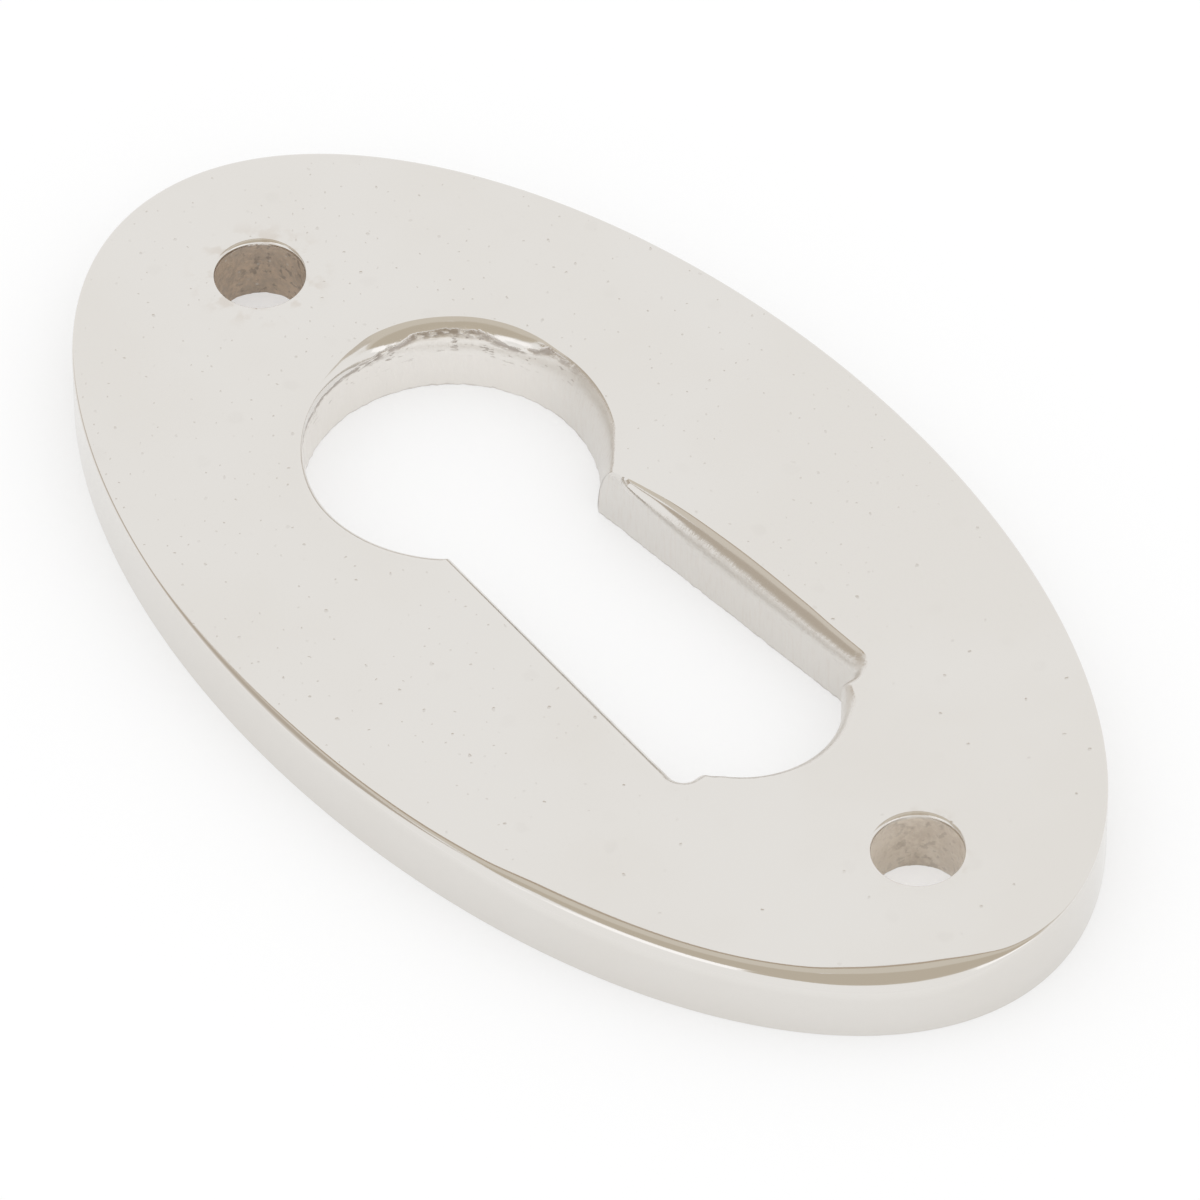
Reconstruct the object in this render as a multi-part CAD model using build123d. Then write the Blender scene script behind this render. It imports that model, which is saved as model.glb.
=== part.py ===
"""Oval keyhole escutcheon: a flat polished plate with a keyhole and two plain screw holes.

The plate is one piece. It lies on its back face, which is z = 0, with +Z out of the front face
and +Y towards the keyhole's round head, which is the top once the plate is on a door.
Sizes are in millimetres.
"""
import os
from math import sqrt

from build123d import *

# Plate: an ellipse cut from flat stock, its front edge rounded over by polishing
plate_length = 52.0
plate_width = 28.8
plate_thickness = 2.9
front_edge_radius = 0.5

# Keyhole: a round head, a slot that flares downwards, and a shallow round nose under the slot
head_radius = 5.8
head_centre_y = 8.0
slot_top_width = 7.4
slot_bottom_width = 9.0
slot_end_y = -11.2
slot_corner_radius = 0.45
nose_radius = 4.0
nose_centre_y = -9.3
nose_corner_radius = 0.3
keyhole_edge_radius = 0.7

# Screw holes on the long axis, drilled straight through with their front edge barely broken
screw_hole_diameter = 3.6
screw_hole_spacing = 39.6
screw_hole_edge_break = 0.15


def front_face(solid):
    """The flat front face."""
    return solid.faces().sort_by(Axis.Z)[-1]


def opening_rim(solid, centre_y):
    """The front edges of the opening whose middle is nearest to centre_y on the long axis."""
    wires = front_face(solid).inner_wires()
    return min(wires, key=lambda w: abs(w.bounding_box().center().Y - centre_y)).edges()


def plate_blank():
    """The elliptical blank, with the front edge rounded over."""
    blank = extrude(Ellipse(plate_width / 2, plate_length / 2), plate_thickness)
    return fillet(front_face(blank).outer_wire().edges(), front_edge_radius)


def keyhole_outline():
    """The keyhole at the wall, drawn as a round head, a flared slot and a nose."""
    top_half = slot_top_width / 2
    bottom_half = slot_bottom_width / 2
    # the slot's sides meet the head's circle here and run on inside it
    joint_y = head_centre_y - sqrt(head_radius**2 - top_half**2)
    flare = (bottom_half - top_half) / (joint_y - slot_end_y)
    inner_half = top_half - flare * (head_centre_y - joint_y)
    slot = make_face(
        Polyline(
            (-bottom_half, slot_end_y),
            (bottom_half, slot_end_y),
            (inner_half, head_centre_y),
            (-inner_half, head_centre_y),
            close=True,
        )
    )
    slot = fillet(slot.vertices().group_by(Axis.Y)[0], slot_corner_radius)
    foot = slot + Pos(0, nose_centre_y) * Circle(nose_radius)
    # where the nose leaves the slot's end, the metal has a small point that is rounded off
    end_points = foot.vertices().group_by(Axis.Y)[0]
    foot = fillet(end_points.filter_by(lambda v: abs(v.X) <= nose_radius), nose_corner_radius)
    return foot + Pos(0, head_centre_y) * Circle(head_radius)


def cut_keyhole(plate):
    """Cuts the keyhole through the plate and rounds over its front edge."""
    plate = plate - extrude(keyhole_outline(), plate_thickness)
    return fillet(opening_rim(plate, 0), keyhole_edge_radius)


def cut_screw_holes(plate):
    """Drills the two screw holes and breaks their front edges."""
    drill = extrude(Circle(screw_hole_diameter / 2), plate_thickness)
    for centre_y in (screw_hole_spacing / 2, -screw_hole_spacing / 2):
        plate = plate - Pos(0, centre_y) * drill
        plate = chamfer(opening_rim(plate, centre_y), screw_hole_edge_break)
    return plate


plate = cut_screw_holes(cut_keyhole(plate_blank()))
plate.label = "escutcheon_plate"

os.makedirs("parts", exist_ok=True)
export_step(plate, "parts/escutcheon_plate.step")
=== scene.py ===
"""Studio picture of the keyhole escutcheon: a hand-polished nickel plate on a pale floor."""
import math
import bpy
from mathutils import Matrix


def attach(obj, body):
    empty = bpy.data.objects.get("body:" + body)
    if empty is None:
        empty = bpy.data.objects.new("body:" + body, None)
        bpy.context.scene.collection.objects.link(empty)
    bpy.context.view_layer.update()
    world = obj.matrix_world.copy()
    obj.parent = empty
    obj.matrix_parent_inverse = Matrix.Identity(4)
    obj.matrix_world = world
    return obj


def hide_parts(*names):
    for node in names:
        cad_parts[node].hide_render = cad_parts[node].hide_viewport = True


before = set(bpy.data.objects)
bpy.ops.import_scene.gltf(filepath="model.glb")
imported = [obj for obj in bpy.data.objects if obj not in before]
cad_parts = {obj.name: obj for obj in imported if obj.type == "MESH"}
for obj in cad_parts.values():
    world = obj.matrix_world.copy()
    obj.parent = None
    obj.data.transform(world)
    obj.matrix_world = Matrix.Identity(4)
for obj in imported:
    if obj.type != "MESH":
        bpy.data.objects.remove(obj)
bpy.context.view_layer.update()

from types import SimpleNamespace

import bpy
from mathutils import Matrix, Vector, noise
from mathutils.geometry import delaunay_2d_cdt

MM = 0.001

# The plate, in millimetres
HALF_WIDTH = 14.4
HALF_LENGTH = 26.0
THICKNESS = 2.9
HEAD_RADIUS = 5.8
HEAD_Y = 8.0
SLOT_TOP_HALF = 3.7
SLOT_BOTTOM_HALF = 4.5
SLOT_END_Y = -11.2
SLOT_CORNER = 0.45
NOSE_RADIUS = 4.0
NOSE_Y = -9.3
NOSE_CORNER = 0.3
HOLE_RADIUS = 1.8
HOLE_Y = 19.8

# How wide the polished rounding is at places along each rim, as (place, millimetres).
# Round the oval the place is an angle clockwise from the top, in degrees
OVAL_ROUNDING = (
    (0, 0.25), (140, 0.10), (158, 0.04), (170, 0.05), (176, 0.13), (182, 0.30), (188, 0.68),
    (194, 0.94), (200, 1.00), (206, 0.95), (212, 0.82), (224, 0.75), (236, 0.76), (242, 0.72),
    (248, 0.52), (256, 0.40), (272, 0.32), (284, 0.20), (294, 0.10), (310, 0.12), (330, 0.12), (360, 0.25),
)
# round the keyhole's head it is an angle from +X towards +Y, in degrees
HEAD_ROUNDING = (
    (-52, 0.75), (-40, 0.66), (-10, 0.61), (8, 0.63), (20, 0.78), (32, 0.91), (44, 0.97), (62, 0.93),
    (74, 0.83), (80, 0.74), (86, 0.58), (92, 0.45), (98, 0.32), (110, 0.17), (118, 0.08), (130, 0.06),
    (150, 0.25), (175, 0.50), (232, 0.60),
)
# how many times deeper than plain the head's rounding is, by the same angle
HEAD_STEEPNESS = ((-52, 3.0), (-5, 3.0), (14, 1.6), (26, 1.0), (232, 1.0))
# on the slot's sides and round its end it is the height on the long axis
SLOT_RIGHT_ROUNDING = (
    (-14, 0.62), (-11.2, 0.60), (-9.0, 0.66), (-7.4, 0.75), (-4.2, 0.82), (-1.8, 0.75),
    (-0.2, 0.63), (1.4, 0.37), (2.2, 0.22), (3.6, 0.04),
)
SLOT_LEFT_ROUNDING = ((-14, 0.62), (-12.8, 0.50), (-12.0, 0.46), (-11.3, 0.70), (3.6, 0.60))
NOSE_BLEND = 1.5
NOSE_CORNER_ROUNDING = 0.24
NOSE_CORNER_REACH = 0.8
# round a screw hole it is an angle from +X towards +Y
HOLE_ROUNDING = ((0, 0.12), (50, 0.20), (110, 0.13), (170, 0.06), (250, 0.04), (320, 0.06), (360, 0.12))
# The slope of a rounding where it meets the front face and where it meets the wall, in degrees
OVAL_SLOPES = (0.0, 90.0)
KEYHOLE_SLOPES = (12.0, 86.0)
HOLE_SLOPES = (0.0, 90.0)

# How fine the mesh is
OVAL_POINTS = 720
KEYHOLE_SPACING = 0.10
HOLE_POINTS = 200
ROUNDING_ROWS = 12
OVAL_WALL_ROWS = 6
KEYHOLE_WALL_ROWS = 24
HOLE_WALL_ROWS = 36
CAP_GRID = 1.0
# how much of the grid's spacing is kept clear beside an outline
CAP_CLEAR = 0.6
# points that are closer than this to each other count as one, in millimetres
SAME_POINT = 1e-7
# a polygon whose direction has a lower z than this is on the back
ON_BACK = -0.9
# how far from the slot's joint the two roundings lean towards each other, in millimetres
CORNER_REACH = 1.6

# Relief of the walls, in millimetres. Scales are per millimetre
DRAWN_DEPTH = 0.012
DRAWN_MARKS = 0.020
DRAWN_MARK_SCALE = 6.0
DRAWN_MARK_SCALE_UP = 0.25
RAGGED_DEPTH = 0.05
RAGGED_HEIGHT = 0.25
RAGGED_SCALE = 3.0
RAGGED_SLICE = 7.0
DRILLED_DEPTH = 0.02
DRILLED_COARSE_SCALE = 2.2
DRILLED_COARSE_DEPTH = 0.03
DRILLED_FINE_SCALE = 6.0
DRILLED_FINE_DEPTH = 0.02
# the power at which a wall's relief dies out towards the rounding
RELIEF_END = 4

# Camera: turned about the plate's axis, tilted back and rolled, as measured from the photo
CAMERA_TURN = 0.69632
CAMERA_TILT = -0.74442
CAMERA_ROLL = 0.00199
# where the camera stands along its own right, up and back axes, in half lengths of the plate
CAMERA_PLACE = (0.0255, -0.06373, 21.308)
PHOTO_PIXELS = 1200.0
FOCAL_PIXELS = 14338.0
SENSOR_MM = 36.0
# nothing that is nearer to the camera than this is drawn, in metres
NEAREST_SEEN = 0.01

# The plate's finish, in millimetres. A pair says where something fades in, with none of it at the
# first value and all of it at the second. Noise has its scale per millimetre and its detail. Spots
# have their cells per millimetre, their size in cells and the share of the cells with a spot, and
# this part of a spot's size has its full strength
SPOT_CORE = 0.4

# Its zones: depths below the front face, heights above the back, distances outside a hole's edge
FACE_DEPTHS = (0.03, 0.005)
BACK_HEIGHTS = (0.004, 0.001)
HOLE_FRINGE = (0.20, 0.10)
BORE_DEPTHS = (0.12, 0.25)
# and the middle of the oval, where x and y as shares of its halves are squared and added
MIDDLE = (0.6, 0.5)

# How far the polish goes down the keyhole's rounding, and where it goes deeper or less deep
POLISH_DEPTH = 0.28
POLISH_FADE = (-0.10, 0.20)
POLISH_WOBBLE = 0.26
POLISH_WOBBLE_NOISE = (1.6, 5.0)
POLISH_DEEPER = 0.16
DEEP_LEFT_X = (3.0, 0.8)
DEEP_LEFT_Y = (8.0, 12.0)
DEEP_SPOT = (5.9, 10.7, 0.0)
DEEP_SPOT_REACH = (1.6, 0.6)
DEEP_SPOT_SHARE = 0.75
POLISH_LESS_DEEP = 0.10
SHALLOW_SPOT = (4.0, 12.8, 0.0)
SHALLOW_SPOT_REACH = (2.2, 0.8)
BARE_RIGHT_X = (3.4, 4.2)
BARE_RIGHT_TOP = (10.8, 9.2)
BARE_RIGHT_FOOT = (1.6, 2.8)
BARE_NOSE_Y = (-9.6, -11.0)

# The face's cloudiness and pits. A share says how strongly something shows
CLOUD_NOISE = (0.12, 3.0)
CLOUD_RANGE = (0.35, 0.65)
CLOUD_SHARE = 0.5
PIT_SPOTS = (0.62, 0.058, 0.45)
PIT_SHARE = 0.20
SMALL_PIT_SPOTS = (1.60, 0.090, 0.45)
SMALL_PIT_Y = (-22.0, 8.0)
SMALL_PIT_SHARE = 0.17
BLOTCH_SPOTS = (0.34, 0.14, 0.50)
BLOTCH_NOISE = (1.4, 2.0)
BLOTCH_LEAST = 0.1
BLOTCH_SHARE = 0.07
WARP_SCALE = 1.3
WARP_DETAIL = 4.0
WARP = 0.5

# Tarnish, by the distance from a screw hole's middle
SMEAR_NOISE = (1.1, 4.0)
SMEAR_RANGE = (0.50, 0.66)
UPPER_RING = (3.2, 1.9)
UPPER_RING_SHARE = 0.34
LOWER_RING = (2.5, 1.9)
LOWER_RING_SHARE = 0.18

# The keyhole's wall: marks drawn through it, painted light that makes its wall round the head paler, and
# torn metal by the depth under the polish
DRAWN_STRETCH = (1.0, 1.0, 0.12)
DRAWN_NOISE = (8.0, 5.0)
DRAWN_RANGE = (0.44, 0.80)
DRAWN_SHARE = 0.8
PAINTED_LIGHT_HEAD_Y = (7.0, 11.0)
PAINTED_LIGHT_HEAD_SHARE = 0.8
TORN_STRETCH = (0.7, 0.7, 2.6)
TORN_NOISE = (3.4, 8.0)
TORN_RANGE = (0.36, 0.54)
TORN_Y = (6.0, 10.0)
TORN_TOP = (0.0, 0.05)
TORN_FOOT = (0.34, 0.08)
SCATTERED_RANGE = (0.60, 0.68)
SCATTERED_FOOT = (1.3, 0.2)
SCATTERED_LEAST = 0.2
SCATTERED_SHARE = 0.6
LOWER_EDGE_HEIGHTS = (0.10, 0.0)
LOWER_EDGE_SHARE = 0.35

# The walls of the screw holes, by the height on the long axis, the depth and x
UPPER_HALF = (-1.0, 1.0)
BORE_NOISE = (5.5, 7.0)
BORE_SHADE_NOISE = (0.7, 2.0)
BORE_SHADE_COARSE = 0.7
BORE_SHADE_FINE = 0.5
BORE_SHADE_RANGE = (0.46, 0.74)
LOWER_BORE_BROWN = 0.35
BORE_TOP_DEPTHS = (1.1, 0.1)
BORE_TOP_SHARE = 0.45
BORE_SPOT_NOISE = (3.4, 6.0)
BORE_SPOT_RANGE = (0.54, 0.64)
BORE_SPOT_X = (-0.6, 1.2)
BORE_SPOT_SHARE = 0.7
PALE_SPOTS = (3.0, 0.26, 0.22)
PALE_SHARE = 0.7

# The back
RUBBED_STRETCH = (1.0, 0.15, 1.0)
RUBBED_NOISE = (4.0, 6.0)
RUBBED_RANGE = (0.35, 0.75)
RUBBED_SHARE = 0.5

# Roughness of the polish, and what each finish adds to it
POLISHED = 0.08
CLOUD_DULL = 0.05
BACK_DULL = 0.22
KEYHOLE_WALL_DULL = 0.24
BORE_DULL = 0.40
PIT_DULL = 0.40
# how much less a bore's dirty wall mirrors like metal
BORE_DIRT = 0.55

# Relief of the finish, in millimetres
PIT_RELIEF = -0.02
DRAWN_RELIEF = 0.020
TORN_RELIEF = -0.03
BORE_RELIEF = 0.05
GRAIN_RELIEF = 0.0004
GRAIN_NOISE = (9.0, 2.0)

# Colours are linear
NICKEL = (0.765, 0.742, 0.708)
NICKEL_CLOUD = (0.750, 0.722, 0.680)
WALL_NICKEL = (0.730, 0.690, 0.645)
# painted light: a wall round the keyhole's head paler than the metal, standing in for a brighter reflection
# there
HEAD_WALL_PAINTED_LIGHT = (0.885, 0.855, 0.815)
TARNISH = (0.58, 0.50, 0.42)
BORE_LIGHT = (0.72, 0.60, 0.48)
BORE_LOWER = (0.92, 0.86, 0.78)
BORE_DARK = (0.56, 0.48, 0.40)
PIT = (0.34, 0.29, 0.25)
FLOOR = (0.50, 0.50, 0.50)
FLOOR_WHITE = 0.49
# the floor lies this far under the plate, in millimetres, so that the two don't share a plane,
# and it goes this far from the middle, in metres
FLOOR_GAP = 0.02
FLOOR_REACH = 4.0
CARD_BY_CAMERA = (0.60, 0.54, 0.45)
CARD_FAR_SIDE = (0.72, 0.67, 0.59)
CARD_BETWEEN = (0.66, 0.61, 0.54)
CARD_LIGHT_TAN = (0.75, 0.70, 0.63)
CARD_THIN = (0.50, 0.42, 0.33)
CARD_LEFT = (0.55, 0.49, 0.42)
CARD_LEFT_LOW = (0.86, 0.83, 0.80)
CARD_BRIGHT = (1.25, 1.25, 1.27)
# the part of a fading card's height in which it fades
CARD_FADE = 0.75
# how far the cards stand, in metres, and how finely they are curved
FAR_CARD = 1.2
NEAR_CARD = 1.15
CARD_STEPS = 24
# the elevation at which the cards overhead end, in degrees
CARD_TOP = 89
# the lamp, in metres and watts
LAMP_SIZE = 0.36
LAMP_HEIGHT = 1.0
LAMP_POWER = 0.35


def between(knots, place):
    """The value at a place between knots, on a smooth curve through them that never overshoots."""
    count = len(knots) - 1
    rises = [(knots[i + 1][1] - knots[i][1]) / (knots[i + 1][0] - knots[i][0]) for i in range(count)]
    slopes = [rises[0]]
    for before, after in zip(rises, rises[1:]):
        turns = before * after <= 0
        slopes.append(0.0 if turns else 2 * before * after / (before + after))
    slopes.append(rises[-1])
    place = min(max(place, knots[0][0]), knots[-1][0])
    i = max(k for k in range(count) if knots[k][0] <= place)
    (start, low), (end, high) = knots[i], knots[i + 1]
    width = end - start
    t = (place - start) / width
    return (
        low * (1 + 2 * t) * (1 - t) ** 2
        + high * (3 - 2 * t) * t**2
        + slopes[i] * width * t * (1 - t) ** 2
        + slopes[i + 1] * width * t**2 * (t - 1)
    )


class Rim:
    """One closed outline and the rounding that runs along it."""

    def __init__(self, wall_rows, relief, slopes):
        self.points = []
        self.inward = []
        self.across = []
        self.depth = []
        self.breaks = []
        self.wall_rows = wall_rows
        self.relief = relief
        self.low, self.high = (math.radians(slope) for slope in slopes)
        self.run = math.sin(self.high) - math.sin(self.low)
        self.fall = math.cos(self.low) - math.cos(self.high)

    def depth_of(self, width):
        """How far down a plain rounding of this width goes."""
        return width * self.fall / self.run

    def add(self, point, inward, across, depth):
        """Adds a place: its point, the way into the metal, and how far the rounding goes in and down."""
        self.points.append(Vector(point))
        self.inward.append(Vector(inward))
        self.across.append(Vector(across))
        self.depth.append(depth)

    def add_plain(self, point, inward, width):
        """Adds a place where the rounding is plain and goes straight into the metal."""
        self.add(point, inward, Vector(inward) * width, self.depth_of(width))

    def rounded(self, i, slope):
        """The place on the rounding where the surface has this slope."""
        part = (math.sin(self.high) - math.sin(slope)) / self.run
        drop = self.depth[i] * (math.cos(self.low) - math.cos(slope)) / self.fall
        return Vector((*(self.points[i] + self.across[i] * part), THICKNESS - drop))

    def normal(self, i, slope):
        """The surface's direction there. At a break in the outline it is taken from one side only."""
        count = len(self.points)
        before = i if i in self.breaks else (i - 1) % count
        after = i if (i + 1) % count in self.breaks else (i + 1) % count
        along = self.rounded(after, slope) - self.rounded(before, slope)
        rise = self.depth[i] * math.sin(slope) / self.fall
        up = Vector((*(self.across[i] * math.cos(slope) / self.run), rise))
        return up.cross(along).normalized()


def smooth_wall(point, z):
    """The oval's wall has no relief."""
    return 0.0


def drawn_wall(point, z):
    """How far the keyhole's wall is cut back: marks drawn through it, and a ragged lower edge."""
    scale = DRAWN_MARK_SCALE
    marks = noise.noise(Vector((point.x * scale, point.y * scale, z * DRAWN_MARK_SCALE_UP)))
    ragged = noise.noise(Vector((point.x * RAGGED_SCALE, point.y * RAGGED_SCALE, RAGGED_SLICE)))
    edge = max(0.0, 1.0 - z / RAGGED_HEIGHT) * (0.5 + ragged)
    return max(0.0, DRAWN_DEPTH + DRAWN_MARKS * marks + RAGGED_DEPTH * edge)


def drilled_wall(point, z):
    """How far a screw hole's wall is cut back: coarse pits and torn metal."""
    coarse = noise.noise(Vector((point.x, point.y, z)) * DRILLED_COARSE_SCALE)
    fine = noise.noise(Vector((point.x, point.y, z)) * DRILLED_FINE_SCALE)
    return max(0.0, DRILLED_DEPTH + DRILLED_COARSE_DEPTH * coarse + DRILLED_FINE_DEPTH * fine)


def oval_rim():
    """The plate's outer rim, clockwise from the top."""
    rim = Rim(OVAL_WALL_ROWS, smooth_wall, OVAL_SLOPES)
    for i in range(OVAL_POINTS):
        degrees = 360.0 * i / OVAL_POINTS
        a = math.radians(degrees)
        point = (HALF_WIDTH * math.sin(a), HALF_LENGTH * math.cos(a))
        inward = -Vector((point[0] / HALF_WIDTH**2, point[1] / HALF_LENGTH**2)).normalized()
        rim.add_plain(point, inward, between(OVAL_ROUNDING, degrees))
    return rim


def hole_rim(centre_y):
    """The rim of the screw hole that has its middle at this height on the long axis."""
    rim = Rim(HOLE_WALL_ROWS, drilled_wall, HOLE_SLOPES)
    for i in range(HOLE_POINTS):
        degrees = 360.0 * i / HOLE_POINTS
        out = Vector((math.cos(math.radians(degrees)), math.sin(math.radians(degrees))))
        point = out * HOLE_RADIUS + Vector((0.0, centre_y))
        rim.add_plain(point, out, between(HOLE_ROUNDING, degrees))
    return rim


def arc(centre, radius, start, end, hollow=False):
    """Points and inward directions along an arc, the metal outside it unless it is hollow."""
    count = max(3, math.ceil(abs(math.radians(end - start)) * radius / KEYHOLE_SPACING))
    made = []
    for i in range(count):
        degrees = start + (end - start) * i / count
        out = Vector((math.cos(math.radians(degrees)), math.sin(math.radians(degrees))))
        made.append((Vector(centre) + out * radius, -out if hollow else out))
    return made


def line(start, end):
    """Points along a straight side, with the metal on the right hand."""
    start, end = Vector(start), Vector(end)
    along = (end - start).normalized()
    count = max(2, math.ceil((end - start).length / KEYHOLE_SPACING))
    inward = Vector((along.y, -along.x))
    return [(start.lerp(end, i / count), inward) for i in range(count)]


def mirrored(point):
    """The same point on the other side of the long axis."""
    return Vector((-point.x, point.y))


def keyhole_outline(joint, side_up, bump, nose_degrees):
    """The head's places, and those of the slot and the nose, anticlockwise from the joint.

    The joint is where the right side of the slot meets the head, and the bump is the middle of the
    metal's small point on the nose's right.
    """
    start = math.degrees(math.atan2(joint.y - HEAD_Y, joint.x))
    head = arc((0.0, HEAD_Y), HEAD_RADIUS, start, 180.0 - start)

    into_slot = Vector((-side_up.y, side_up.x))
    corner_x = SLOT_BOTTOM_HALF - (SLOT_CORNER - SLOT_CORNER * into_slot.y) / -into_slot.x
    corner = Vector((corner_x, SLOT_END_Y + SLOT_CORNER))
    side_start = corner - into_slot * SLOT_CORNER
    corner_degrees = math.degrees(math.atan2(-into_slot.y, -into_slot.x))
    corner_foot = Vector((corner.x, SLOT_END_Y))
    bump_top = Vector((bump.x, SLOT_END_Y))

    lower = line(mirrored(joint), mirrored(side_start))
    lower += arc(mirrored(corner), SLOT_CORNER, 180.0 - corner_degrees, 270.0)
    lower += line(mirrored(corner_foot), mirrored(bump_top))
    lower += arc(mirrored(bump), NOSE_CORNER, 90.0, -nose_degrees, hollow=True)
    lower += arc((0.0, NOSE_Y), NOSE_RADIUS, 180.0 - nose_degrees, 360.0 + nose_degrees)
    lower += arc(bump, NOSE_CORNER, 180.0 + nose_degrees, 90.0, hollow=True)
    lower += line(bump_top, corner_foot)
    lower += arc(corner, SLOT_CORNER, -90.0, corner_degrees)
    lower += line(side_start, joint)
    return head, lower


def lower_width(point):
    """The rounding's width beside the slot and round the nose, where its two sides blend."""
    right = between(SLOT_RIGHT_ROUNDING, point.y)
    left = between(SLOT_LEFT_ROUNDING, point.y)
    share = min(max(0.5 + point.x / (2 * NOSE_BLEND), 0.0), 1.0)
    return left + (right - left) * share * share * (3 - 2 * share)


def keyhole_rim():
    """The keyhole's rim, from where the right side of the slot meets the head."""
    joint = Vector((SLOT_TOP_HALF, HEAD_Y - math.sqrt(HEAD_RADIUS**2 - SLOT_TOP_HALF**2)))
    side_up = (joint - Vector((SLOT_BOTTOM_HALF, SLOT_END_Y))).normalized()
    drop = SLOT_END_Y - NOSE_CORNER - NOSE_Y
    bump_x = math.sqrt((NOSE_RADIUS + NOSE_CORNER) ** 2 - drop**2)
    bump = Vector((bump_x, SLOT_END_Y - NOSE_CORNER))
    nose_degrees = math.degrees(math.atan2(drop, bump_x))
    head, lower = keyhole_outline(joint, side_up, bump, nose_degrees)

    rim = Rim(KEYHOLE_WALL_ROWS, drawn_wall, KEYHOLE_SLOPES)
    rim.breaks = [0, len(head)]
    corners = [
        slot_corner(1, joint, side_up, between(SLOT_RIGHT_ROUNDING, joint.y), rim),
        slot_corner(-1, joint, side_up, between(SLOT_LEFT_ROUNDING, joint.y), rim),
    ]
    for point, inward in head:
        degrees = math.degrees(math.atan2(point.y - HEAD_Y, point.x))
        if degrees < -90:
            degrees += 360
        width = between(HEAD_ROUNDING, degrees)
        depth = rim.depth_of(width) * between(HEAD_STEEPNESS, degrees)
        add_by_corner(rim, point, inward * width, depth, corners, "head")
    for point, inward in lower:
        full = lower_width(point)
        gap = min((point - bump).length, (point - mirrored(bump)).length) - NOSE_CORNER
        near = 1 - min(max(gap / NOSE_CORNER_REACH, 0.0), 1.0)
        width = full - (full - NOSE_CORNER_ROUNDING) * near
        # the metal's small points beside the nose are worn down as a whole
        across = inward * width + Vector((0.0, width - full))
        add_by_corner(rim, point, across, rim.depth_of(full), corners, "slot")
    return rim


def slot_corner(side, joint, side_up, slot_width, rim):
    """How the roundings of the head and of one side of the slot run into each other.

    The side is 1 on the right and -1 on the left. The joint and the slot's direction are the right
    side's, and what comes out is turned to the side that is asked for.
    """
    degrees = math.degrees(math.atan2(joint.y - HEAD_Y, joint.x))
    degrees = degrees if side > 0 else 180.0 - degrees
    head_width = between(HEAD_ROUNDING, degrees)
    head_depth = rim.depth_of(head_width) * between(HEAD_STEEPNESS, degrees)
    out = Vector((side_up.y, -side_up.x))
    centre = Vector((0.0, HEAD_Y))
    place = joint + out * slot_width - centre
    along = place.dot(side_up)
    reach = place.length_squared - (HEAD_RADIUS + head_width) ** 2
    met = place - side_up * (along + math.sqrt(along * along - reach)) + centre
    shift = met - joint
    head_lean = shift - (joint - centre).normalized() * head_width
    slot_lean = shift - out * slot_width
    if side < 0:
        joint, head_lean, slot_lean = mirrored(joint), mirrored(head_lean), mirrored(slot_lean)
    return {
        "place": joint,
        "head": (head_lean, 0.0),
        "slot": (slot_lean, head_depth - rim.depth_of(slot_width)),
    }


def add_by_corner(rim, point, across, depth, corners, part):
    """Adds a place of the keyhole's rim, leaning it towards a corner that is close."""
    inward = across.normalized()
    for corner in corners:
        near = 1 - (point - corner["place"]).length / CORNER_REACH
        if near > 0:
            lean, deeper = corner[part]
            across = across + lean * near
            depth += deeper * near
    rim.add(point, inward, across, depth)


def inside(point, outline):
    """Whether a point is inside a closed outline."""
    found = False
    for a, b in zip(outline, outline[1:] + outline[:1]):
        if (a.y > point.y) != (b.y > point.y):
            if point.x < a.x + (point.y - a.y) * (b.x - a.x) / (b.y - a.y):
                found = not found
    return found


def cap(outlines, spacing):
    """Triangles over the oval less its openings. Gives the points added and the triangles."""
    flat = [p for outline in outlines for p in outline]
    edges, start = [], 0
    for outline in outlines:
        count = len(outline)
        edges += [(start + i, start + (i + 1) % count) for i in range(count)]
        start += count
    clear = spacing * CAP_CLEAR
    columns, rows = int(HALF_WIDTH / spacing), int(HALF_LENGTH / spacing)
    added = []
    for i in range(-columns, columns + 1):
        for j in range(-rows, rows + 1):
            point = Vector((i * spacing, j * spacing))
            if inside(point, outlines[0]) and not any(inside(point, o) for o in outlines[1:]):
                if min((point - p).length_squared for p in flat) > clear * clear:
                    added.append(point)
    made, _, triangles, origin, _, _ = delaunay_2d_cdt(flat + added, edges, [], 0, SAME_POINT)
    kept = []
    for triangle in triangles:
        middle = sum((made[i] for i in triangle), Vector((0.0, 0.0))) / 3
        if inside(middle, outlines[0]) and not any(inside(middle, o) for o in outlines[1:]):
            kept.append([origin[i][0] for i in triangle])
    return added, kept


def add_rows(rim, points, normals, faces):
    """Adds a rim's wall and rounding to the mesh, row by row up from the back. Gives the rows."""
    count = len(rim.points)
    rows = []
    for row in range(rim.wall_rows + 1 + ROUNDING_ROWS):
        rows.append(range(len(points), len(points) + count))
        for i in range(count):
            if row < rim.wall_rows:
                point = rim.points[i]
                part = row / rim.wall_rows
                z = (THICKNESS - rim.depth[i]) * part
                place = point + rim.inward[i] * rim.relief(point, z) * (1.0 - part**RELIEF_END)
                points.append(Vector((*place, z)))
                normals.append(None)
            else:
                part = (row - rim.wall_rows) / ROUNDING_ROWS
                slope = rim.high + (rim.low - rim.high) * part
                points.append(rim.rounded(i, slope))
                normals.append(rim.normal(i, slope))
    for low, high in zip(rows, rows[1:]):
        for i in range(count):
            j = (i + 1) % count
            # the oval runs clockwise and the openings anticlockwise, both with metal on the right
            faces.append((high[i], high[j], low[j], low[i]))
    return rows


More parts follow.
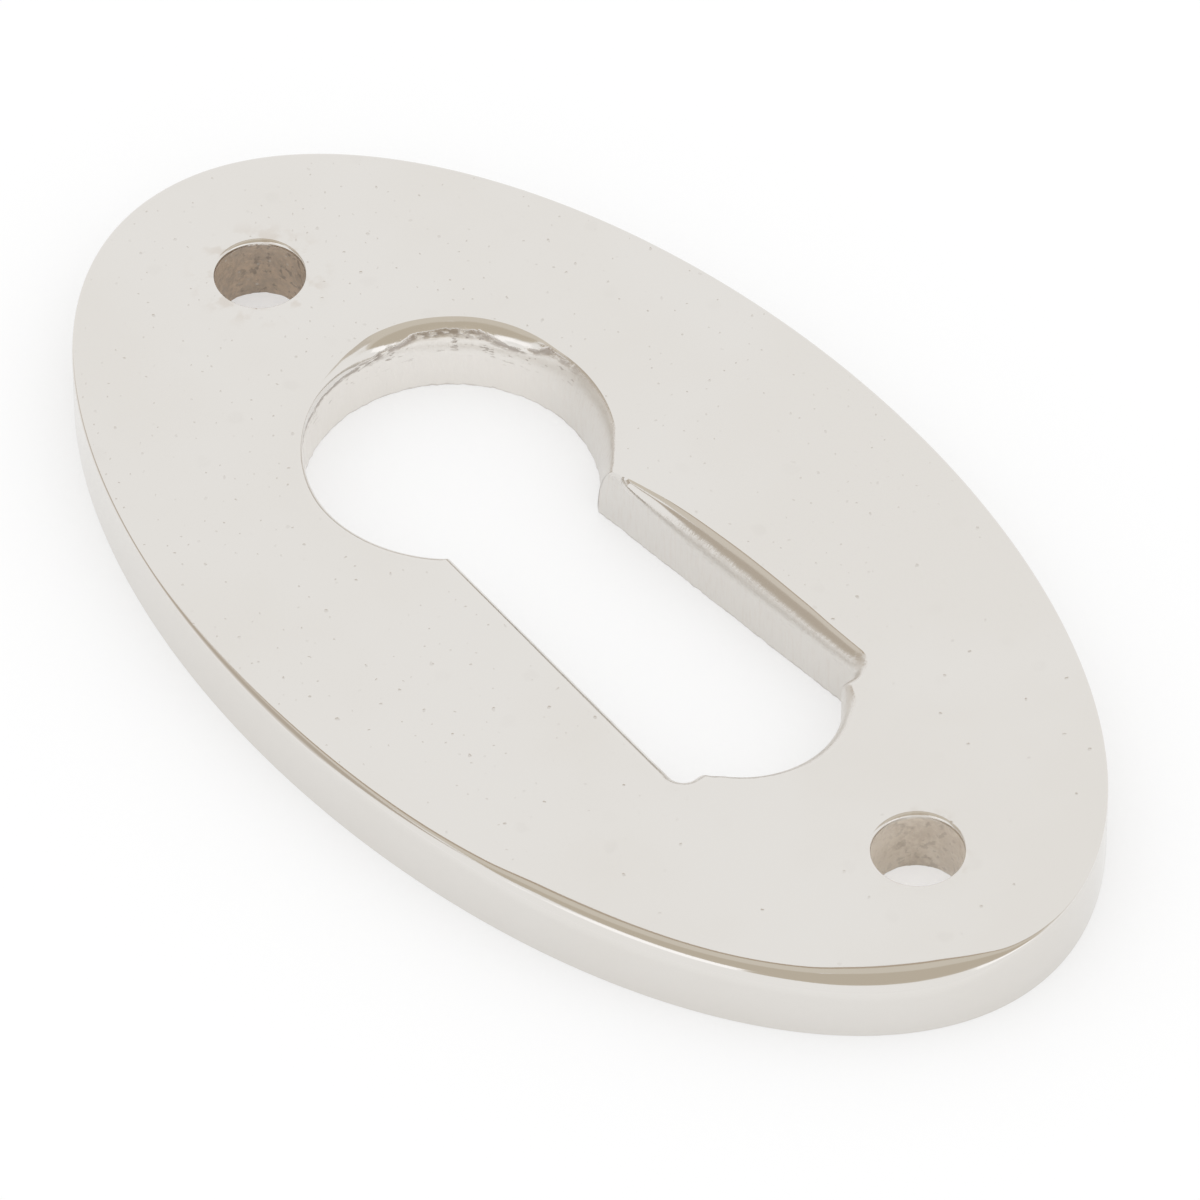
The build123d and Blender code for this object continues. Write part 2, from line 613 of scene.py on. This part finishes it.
def add_cap(rows, z, facing, points, normals, faces):
    """Closes the mesh between its rims' rows, facing up where facing is 1 and down where it is -1."""
    index = [i for row in rows for i in row]
    outlines = [[Vector(points[i][:2]) for i in row] for row in rows]
    added, triangles = cap(outlines, CAP_GRID)
    index += [len(points) + i for i in range(len(added))]
    for point in added:
        points.append(Vector((*point, z)))
        normals.append(Vector((0.0, 0.0, facing)))
    for a, b, c in triangles:
        a, b, c = index[a], index[b], index[c]
        turn = (points[b] - points[a]).cross(points[c] - points[a]).z
        faces.append((a, b, c) if turn * facing > 0 else (a, c, b))


def set_normals(mesh, normals):
    """Shades the roundings by their exact directions, the faces flat and the walls upright."""
    wanted = [corner.vector.copy() for corner in mesh.corner_normals]
    for polygon in mesh.polygons:
        on_back = polygon.normal.z < ON_BACK
        for corner in polygon.loop_indices:
            exact = normals[mesh.loops[corner].vertex_index]
            if on_back:
                wanted[corner] = Vector((0.0, 0.0, -1.0))
            elif len(polygon.vertices) == 3:
                wanted[corner] = Vector((0.0, 0.0, 1.0))
            elif exact is not None:
                wanted[corner] = exact
            else:
                # a wall corner keeps its own side's slope and doesn't lean towards the back
                own = wanted[corner]
                wanted[corner] = Vector((own.x, own.y, 0.0)).normalized()
    mesh.normals_split_custom_set(wanted)


def plate_object(material):
    """The plate as one closed mesh, every rim rounded as far as the polishing went."""
    rims = [oval_rim(), keyhole_rim(), hole_rim(HOLE_Y), hole_rim(-HOLE_Y)]
    points, normals, faces = [], [], []
    rows = [add_rows(rim, points, normals, faces) for rim in rims]
    add_cap([row[-1] for row in rows], THICKNESS, 1, points, normals, faces)
    add_cap([row[0] for row in rows], 0.0, -1, points, normals, faces)

    mesh = bpy.data.meshes.new("escutcheon_plate_polished")
    mesh.from_pydata([p * MM for p in points], [], faces)
    mesh.validate()
    for polygon in mesh.polygons:
        polygon.use_smooth = True
    mesh.update()
    set_normals(mesh, normals)
    mesh.materials.append(material)
    made = bpy.data.objects.new("escutcheon_plate_polished", mesh)
    bpy.context.scene.collection.objects.link(made)
    return made


class Graph:
    """Adds nodes to a tree. Each method returns the socket that holds its result."""

    def __init__(self, tree):
        self.tree = tree

    def node(self, kind, inputs=None, **settings):
        made = self.tree.nodes.new(kind)
        for name, value in settings.items():
            setattr(made, name, value)
        for key, value in (inputs or {}).items():
            self.put(made.inputs[key], value)
        return made

    def put(self, socket, value):
        if isinstance(value, bpy.types.NodeSocket):
            self.tree.links.new(value, socket)
        else:
            socket.default_value = value

    def math(self, operation, a, b=0.0):
        return self.node("ShaderNodeMath", {0: a, 1: b}, operation=operation).outputs[0]

    def product(self, *values):
        made = values[0]
        for value in values[1:]:
            made = self.math("MULTIPLY", made, value)
        return made

    def total(self, *values):
        made = values[0]
        for value in values[1:]:
            made = self.math("ADD", made, value)
        return made

    def step(self, value, start, end):
        """Goes smoothly from 0 at start to 1 at end."""
        inputs = {"Value": value, "From Min": start, "From Max": end}
        return self.node("ShaderNodeMapRange", inputs, interpolation_type="SMOOTHSTEP").outputs[0]

    def step_down(self, z, depths):
        """Goes smoothly from 0 to 1 between two depths below the front face."""
        return self.step(z, THICKNESS - depths[0], THICKNESS - depths[1])

    def vector(self, operation, a, b):
        return self.node("ShaderNodeVectorMath", {0: a, 1: b}, operation=operation).outputs[0]

    def distance(self, a, b):
        made = self.node("ShaderNodeVectorMath", {0: a, 1: b}, operation="DISTANCE")
        return made.outputs["Value"]

    def noise(self, place, scale, detail):
        inputs = {"Vector": place, "Scale": scale, "Detail": detail}
        return self.node("ShaderNodeTexNoise", inputs).outputs[0]

    def warped(self, place, scale, detail, strength):
        """The place moved about at random, so that round spots turn out uneven."""
        inputs = {"Vector": place, "Scale": scale, "Detail": detail}
        made = self.node("ShaderNodeTexNoise", inputs).outputs["Color"]
        moved = self.vector("MULTIPLY", made, (strength, strength, 0.0))
        return self.vector("ADD", place, moved)

    def mix(self, factor, a, b):
        made = self.tree.nodes.new("ShaderNodeMix")
        made.data_type = "RGBA"
        for index, value in ((0, factor), (6, a), (7, b)):
            if isinstance(value, tuple):
                value = (*value, 1.0)
            self.put(made.inputs[index], value)
        return made.outputs[2]

    def spots(self, place, kind, dimensions="2D"):
        """Small round spots in a share of the cells of a random grid."""
        scale, size, share = kind
        inputs = {"Vector": place, "Scale": scale}
        cells = self.node("ShaderNodeTexVoronoi", inputs, voronoi_dimensions=dimensions)
        spot = self.step(cells.outputs["Distance"], size, size * SPOT_CORE)
        pick = self.node("ShaderNodeSeparateColor", {0: cells.outputs["Color"]})
        return self.product(spot, self.math("LESS_THAN", pick.outputs[0], share), pick.outputs[1])


def polish_depth(g, at):
    """How far below the front face the polish goes on the keyhole's rounding."""
    deep_left = g.product(g.step(at.x, *DEEP_LEFT_X), g.step(at.y, *DEEP_LEFT_Y))
    deep_spot = g.step(g.distance(at.flat, DEEP_SPOT), *DEEP_SPOT_REACH)
    deep = g.math("MAXIMUM", deep_left, g.product(deep_spot, DEEP_SPOT_SHARE))
    shallow = g.step(g.distance(at.flat, SHALLOW_SPOT), *SHALLOW_SPOT_REACH)
    right_side = g.step(at.x, *BARE_RIGHT_X)
    right_side = g.product(right_side, g.step(at.y, *BARE_RIGHT_TOP), g.step(at.y, *BARE_RIGHT_FOOT))
    bare = g.math("MAXIMUM", right_side, g.step(at.y, *BARE_NOSE_Y))
    return g.total(
        POLISH_DEPTH,
        g.product(deep, POLISH_DEEPER),
        g.product(shallow, -POLISH_LESS_DEEP),
        g.product(bare, -POLISH_DEPTH),
    )


def plate_zones(g):
    """Places on the plate, in millimetres, and how far each belongs to each of its zones."""
    at = SimpleNamespace()
    place = g.node("ShaderNodeTexCoord").outputs["Object"]
    at.place = g.vector("MULTIPLY", place, (1 / MM, 1 / MM, 1 / MM))
    at.x, at.y, at.z = g.node("ShaderNodeSeparateXYZ", {0: at.place}).outputs
    at.flat = g.vector("MULTIPLY", at.place, (1.0, 1.0, 0.0))
    at.face = g.step_down(at.z, FACE_DEPTHS)
    at.back = g.step(at.z, *BACK_HEIGHTS)
    off_face = g.math("SUBTRACT", g.math("SUBTRACT", 1.0, at.face), at.back)

    at.upper_hole = g.distance(at.flat, (0.0, HOLE_Y, 0.0))
    at.lower_hole = g.distance(at.flat, (0.0, -HOLE_Y, 0.0))
    nearest = g.math("MINIMUM", at.upper_hole, at.lower_hole)
    in_hole = g.step(nearest, *(HOLE_RADIUS + fringe for fringe in HOLE_FRINGE))
    at.bore = g.product(in_hole, g.step_down(at.z, BORE_DEPTHS), off_face)

    across = g.math("POWER", g.math("DIVIDE", g.math("ABSOLUTE", at.x), HALF_WIDTH), 2.0)
    along = g.math("POWER", g.math("DIVIDE", g.math("ABSOLUTE", at.y), HALF_LENGTH), 2.0)
    middle = g.step(g.math("ADD", across, along), *MIDDLE)
    wobble = g.math("SUBTRACT", g.noise(at.place, *POLISH_WOBBLE_NOISE), 0.5)
    at.uneven_z = g.math("SUBTRACT", at.z, g.product(wobble, POLISH_WOBBLE))
    at.under_polish = g.math("SUBTRACT", THICKNESS, at.uneven_z)
    at.under_polish = g.math("SUBTRACT", at.under_polish, polish_depth(g, at))
    at.keyhole_wall = g.product(g.step(at.under_polish, *POLISH_FADE), middle, off_face)
    return at


def face_finish(g, at):
    """Soft cloudiness and small pits, more of them towards the keyhole's head."""
    cloud = g.step(g.noise(at.place, *CLOUD_NOISE), *CLOUD_RANGE)
    colour = g.mix(g.product(cloud, CLOUD_SHARE), NICKEL, NICKEL_CLOUD)
    warped = g.warped(at.flat, WARP_SCALE, WARP_DETAIL, WARP)
    pits = g.product(g.spots(warped, PIT_SPOTS), at.face, PIT_SHARE)
    small_pits = g.product(g.spots(warped, SMALL_PIT_SPOTS), at.face, g.step(at.y, *SMALL_PIT_Y))
    small_pits = g.product(small_pits, SMALL_PIT_SHARE)
    uneven = g.product(g.noise(at.place, *BLOTCH_NOISE), 1 - BLOTCH_LEAST)
    uneven = g.total(uneven, BLOTCH_LEAST)
    blotches = g.product(g.spots(warped, BLOTCH_SPOTS), at.face, uneven, BLOTCH_SHARE)
    pitting = g.math("MAXIMUM", pits, small_pits)
    return g.mix(g.math("MAXIMUM", pitting, blotches), colour, PIT), cloud, pitting


def tarnish_finish(g, at, colour):
    """Tarnish smeared round the upper screw hole, less round the lower one."""
    smear = g.step(g.noise(at.place, *SMEAR_NOISE), *SMEAR_RANGE)
    upper = g.product(smear, g.step(at.upper_hole, *UPPER_RING), UPPER_RING_SHARE)
    lower = g.product(smear, g.step(at.lower_hole, *LOWER_RING), LOWER_RING_SHARE)
    return g.mix(g.math("MAXIMUM", upper, lower), colour, TARNISH)


def keyhole_finish(g, at, colour):
    """Marks drawn through the keyhole's walls, painted light that makes the wall round the head paler, and
    torn metal under the rim and along the lower edge.
    """
    drawn = g.noise(g.vector("MULTIPLY", at.place, DRAWN_STRETCH), *DRAWN_NOISE)
    marks = g.product(at.keyhole_wall, g.step(drawn, *DRAWN_RANGE), DRAWN_SHARE)
    colour = g.mix(marks, colour, WALL_NICKEL)
    # painted light: the wall round the head is made paler than the metal, standing in for a brighter
    # reflection
    head_wall_painted_light = g.product(at.keyhole_wall, g.step(at.y, *PAINTED_LIGHT_HEAD_Y), PAINTED_LIGHT_HEAD_SHARE)
    colour = g.mix(head_wall_painted_light, colour, HEAD_WALL_PAINTED_LIGHT)

    tears = g.noise(g.vector("MULTIPLY", at.place, TORN_STRETCH), *TORN_NOISE)
    in_head = g.step(at.y, *TORN_Y)
    band = g.product(g.step(at.under_polish, *TORN_TOP), g.step(at.under_polish, *TORN_FOOT))
    under_rim = g.product(band, g.step(tears, *TORN_RANGE), in_head)
    scattered = g.product(g.step(tears, *SCATTERED_RANGE), g.step(at.under_polish, *SCATTERED_FOOT))
    scattered = g.product(scattered, g.total(SCATTERED_LEAST, in_head), SCATTERED_SHARE)
    lower_edge = g.product(g.step(at.uneven_z, *LOWER_EDGE_HEIGHTS), LOWER_EDGE_SHARE)
    torn = g.math("MAXIMUM", g.math("MAXIMUM", under_rim, scattered), lower_edge)
    torn = g.product(torn, at.keyhole_wall)
    return g.mix(torn, colour, PIT), drawn, torn


def bore_finish(g, at, colour):
    """Rough brown walls with pale specks in the screw holes, browner in the upper one."""
    rough = g.noise(at.place, *BORE_NOISE)
    shade = g.product(g.noise(at.place, *BORE_SHADE_NOISE), BORE_SHADE_COARSE)
    shade = g.total(shade, g.product(rough, BORE_SHADE_FINE))
    upper = g.step(at.y, *UPPER_HALF)
    browner = g.total(LOWER_BORE_BROWN, g.product(upper, 1 - LOWER_BORE_BROWN))
    bore = g.mix(upper, BORE_LOWER, BORE_LIGHT)
    bore = g.mix(g.product(g.step(shade, *BORE_SHADE_RANGE), browner), bore, BORE_DARK)
    top = g.product(g.step_down(at.z, BORE_TOP_DEPTHS), browner, BORE_TOP_SHARE)
    bore = g.mix(top, bore, BORE_DARK)
    dark_spots = g.step(g.noise(at.place, *BORE_SPOT_NOISE), *BORE_SPOT_RANGE)
    dark_spots = g.product(dark_spots, g.step(at.x, *BORE_SPOT_X), browner, BORE_SPOT_SHARE)
    bore = g.mix(dark_spots, bore, PIT)
    bore = g.mix(g.product(g.spots(at.place, PALE_SPOTS, "3D"), PALE_SHARE), bore, NICKEL)
    return g.mix(at.bore, colour, bore), rough


def back_finish(g, at, colour):
    """The flat back, rubbed down less finely than the front."""
    rubbed = g.noise(g.vector("MULTIPLY", at.place, RUBBED_STRETCH), *RUBBED_NOISE)
    return g.mix(g.product(at.back, g.step(rubbed, *RUBBED_RANGE), RUBBED_SHARE), colour, WALL_NICKEL)


def plate_material():
    """Polished nickel: pitted face, drawn keyhole walls with painted light on the head's wall, rough brown
    screw holes and tarnish.
    """
    material = bpy.data.materials.new("polished_nickel")
    material.use_nodes = True
    tree = material.node_tree
    tree.nodes.clear()
    g = Graph(tree)
    at = plate_zones(g)
    colour, cloud, pitting = face_finish(g, at)
    colour = tarnish_finish(g, at, colour)
    colour, drawn, torn = keyhole_finish(g, at, colour)
    colour, rough = bore_finish(g, at, colour)
    colour = back_finish(g, at, colour)
    roughness = g.total(
        POLISHED,
        g.product(cloud, CLOUD_DULL),
        g.product(at.back, BACK_DULL),
        g.product(at.keyhole_wall, KEYHOLE_WALL_DULL),
        g.product(at.bore, BORE_DULL),
        g.product(pitting, PIT_DULL),
    )
    metallic = g.math("SUBTRACT", 1.0, g.product(at.bore, BORE_DIRT))
    height = g.total(
        g.product(pitting, PIT_RELIEF),
        g.product(drawn, at.keyhole_wall, DRAWN_RELIEF),
        g.product(torn, TORN_RELIEF),
        g.product(rough, at.bore, BORE_RELIEF),
        g.product(g.noise(at.place, *GRAIN_NOISE), GRAIN_RELIEF),
    )
    bump = g.node("ShaderNodeBump", {"Height": height, "Distance": MM, "Strength": 1.0})
    inputs = {"Base Color": colour, "Roughness": roughness, "Metallic": metallic, "Normal": bump.outputs[0]}
    shader = g.node("ShaderNodeBsdfPrincipled", inputs)
    output = g.node("ShaderNodeOutputMaterial")
    tree.links.new(shader.outputs[0], output.inputs["Surface"])
    return material


def studio_material(name, kind, colour):
    """One plain colour for the studio, either matt or giving light."""
    material = bpy.data.materials.new(name)
    material.use_nodes = True
    tree = material.node_tree
    tree.nodes.clear()
    g = Graph(tree)
    shader = g.node(kind, {"Color": (*colour, 1.0)})
    output = g.node("ShaderNodeOutputMaterial")
    tree.links.new(shader.outputs[0], output.inputs["Surface"])
    return material


def floor_material():
    """Matt, and lifted to white where the camera, metal or glass sees it. It keeps the shadow.

    From below it is clear, so that it doesn't hide the plate's back.
    """
    material = studio_material("floor", "ShaderNodeBsdfDiffuse", FLOOR)
    tree = material.node_tree
    g = Graph(tree)
    path = g.node("ShaderNodeLightPath")
    seen = g.math("MAXIMUM", path.outputs["Is Camera Ray"], path.outputs["Is Glossy Ray"])
    seen = g.math("MAXIMUM", seen, path.outputs["Is Transmission Ray"])
    lift = g.node("ShaderNodeEmission", {"Strength": g.math("MULTIPLY", seen, FLOOR_WHITE)})
    diffuse = tree.nodes["Diffuse BSDF"].outputs[0]
    both = g.node("ShaderNodeAddShader", {0: diffuse, 1: lift.outputs[0]})
    behind = g.node("ShaderNodeNewGeometry").outputs["Backfacing"]
    clear = g.node("ShaderNodeBsdfTransparent")
    one_sided = g.node("ShaderNodeMixShader", {0: behind, 1: both.outputs[0], 2: clear.outputs[0]})
    output = tree.nodes["Material Output"]
    tree.links.new(one_sided.outputs[0], output.inputs["Surface"])
    return material


def direction(azimuth, elevation):
    """A unit vector towards a place in the studio. Azimuth 0 is at -Y and 90 at +X, in degrees."""
    a = math.radians(azimuth)
    e = math.radians(elevation)
    return Vector((math.sin(a) * math.cos(e), -math.cos(a) * math.cos(e), math.sin(e)))


def stage_object(name, points, faces, material):
    """A mesh that belongs to the studio and not to the part."""
    mesh = bpy.data.meshes.new(name)
    mesh.from_pydata(points, [], faces)
    mesh.materials.append(material)
    made = bpy.data.objects.new(name, mesh)
    bpy.context.scene.collection.objects.link(made)
    return made


def card(name, azimuths, lows, high, colour, low_colour=None, radius=FAR_CARD):
    """A curved card that only the metal mirrors.

    It goes from one azimuth to the other, and from a lower edge, given at both azimuths, up to one
    elevation. With a second colour it fades to that one towards its lower edge.
    """
    points = []
    for i in range(CARD_STEPS + 1):
        part = i / CARD_STEPS
        azimuth = azimuths[0] + (azimuths[1] - azimuths[0]) * part
        low = lows[0] + (lows[1] - lows[0]) * part
        for j in range(CARD_STEPS + 1):
            points.append(direction(azimuth, low + (high - low) * j / CARD_STEPS) * radius)
    row = CARD_STEPS + 1
    faces = [
        (i * row + j, (i + 1) * row + j, (i + 1) * row + j + 1, i * row + j + 1)
        for i in range(CARD_STEPS)
        for j in range(CARD_STEPS)
    ]
    material = studio_material(name, "ShaderNodeEmission", colour)
    if low_colour:
        g = Graph(material.node_tree)
        height = g.node("ShaderNodeTexCoord").outputs["Object"]
        height = g.node("ShaderNodeSeparateXYZ", {0: height}).outputs[2]
        bottom, top = (radius * math.sin(math.radians(e)) for e in (min(lows), high))
        share = g.step(height, bottom, bottom + (top - bottom) * CARD_FADE)
        g.put(material.node_tree.nodes["Emission"].inputs[0], g.mix(share, low_colour, colour))
    # the metal finds the card by reflection, so no light rays are spent on it
    material.cycles.emission_sampling = "NONE"
    made = stage_object(name, points, faces, material)
    made.visible_camera = False
    made.visible_diffuse = False
    made.visible_shadow = False


def cards():
    """What the polished metal mirrors: tan cards round about and overhead, and two bright ones."""
    card("card_by_camera", (-40, 41), (36, 36), CARD_TOP, CARD_BY_CAMERA)
    card("card_beside_camera", (-139, -40), (62, 36), CARD_TOP, CARD_BY_CAMERA)
    card("card_right_of_camera", (41, 61), (36, 58), CARD_TOP, CARD_FAR_SIDE)
    card("card_far_side", (61, 221), (63, 63), CARD_TOP, CARD_FAR_SIDE)
    card("card_thin", (115, 175), (54, 54), 63, CARD_THIN)
    card("card_right_of_thin", (61, 115), (54, 54), 63, CARD_BETWEEN)
    card("card_left_of_thin", (175, 221), (53, 53), 63, CARD_LIGHT_TAN)
    card("card_left", (-172, -119), (2, 2), 55, CARD_LEFT, CARD_LEFT_LOW, radius=NEAR_CARD)
    card("card_bright_left", (-99, -68), (38, 38), 52, CARD_BRIGHT, radius=NEAR_CARD)
    card("card_bright_right", (-6, 30), (20, 20), 35, CARD_BRIGHT, radius=NEAR_CARD)


def floor():
    """A pale floor, just under the plate."""
    ground = -FLOOR_GAP * MM
    signs = ((-1, -1), (1, -1), (1, 1), (-1, 1))
    corners = [(x * FLOOR_REACH, y * FLOOR_REACH, ground) for x, y in signs]
    stage_object("floor", corners, [(0, 1, 2, 3)], floor_material())


def surround():
    """An even white surround."""
    world = bpy.data.worlds.new("studio")
    world.use_nodes = True
    background = world.node_tree.nodes["Background"]
    background.inputs["Color"].default_value = (1.0, 1.0, 1.0, 1.0)
    background.inputs["Strength"].default_value = 1.0
    bpy.context.scene.world = world


def overhead_lamp():
    """A soft lamp straight above, which the metal doesn't mirror."""
    lamp = bpy.data.lights.new("overhead", "AREA")
    lamp.shape = "DISK"
    lamp.size = LAMP_SIZE
    lamp.energy = LAMP_POWER
    overhead = bpy.data.objects.new("overhead", lamp)
    overhead.location = (0.0, 0.0, LAMP_HEIGHT)
    overhead.visible_glossy = False
    bpy.context.scene.collection.objects.link(overhead)


def camera():
    """The photo's viewpoint."""
    turned = Matrix.Rotation(CAMERA_TURN, 3, "Z")
    tilted = Matrix.Rotation(CAMERA_TILT, 3, "X")
    rolled = Matrix.Rotation(CAMERA_ROLL, 3, "Z")
    axes = (rolled @ tilted @ turned).transposed()
    place = axes @ Vector(CAMERA_PLACE) * HALF_LENGTH * MM + Vector((0.0, 0.0, THICKNESS * MM))
    data = bpy.data.cameras.new("camera")
    data.sensor_width = SENSOR_MM
    data.lens = FOCAL_PIXELS * SENSOR_MM / PHOTO_PIXELS
    data.clip_start = NEAREST_SEEN
    made = bpy.data.objects.new("camera", data)
    made.matrix_world = Matrix.Translation(place) @ axes.to_4x4()
    bpy.context.scene.collection.objects.link(made)
    bpy.context.scene.camera = made


plate = plate_object(plate_material())
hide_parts("escutcheon_plate")
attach(plate, "root")
floor()
surround()
cards()
overhead_lamp()
camera()
bpy.context.scene.view_settings.view_transform = "Standard"

bpy.context.view_layer.update()
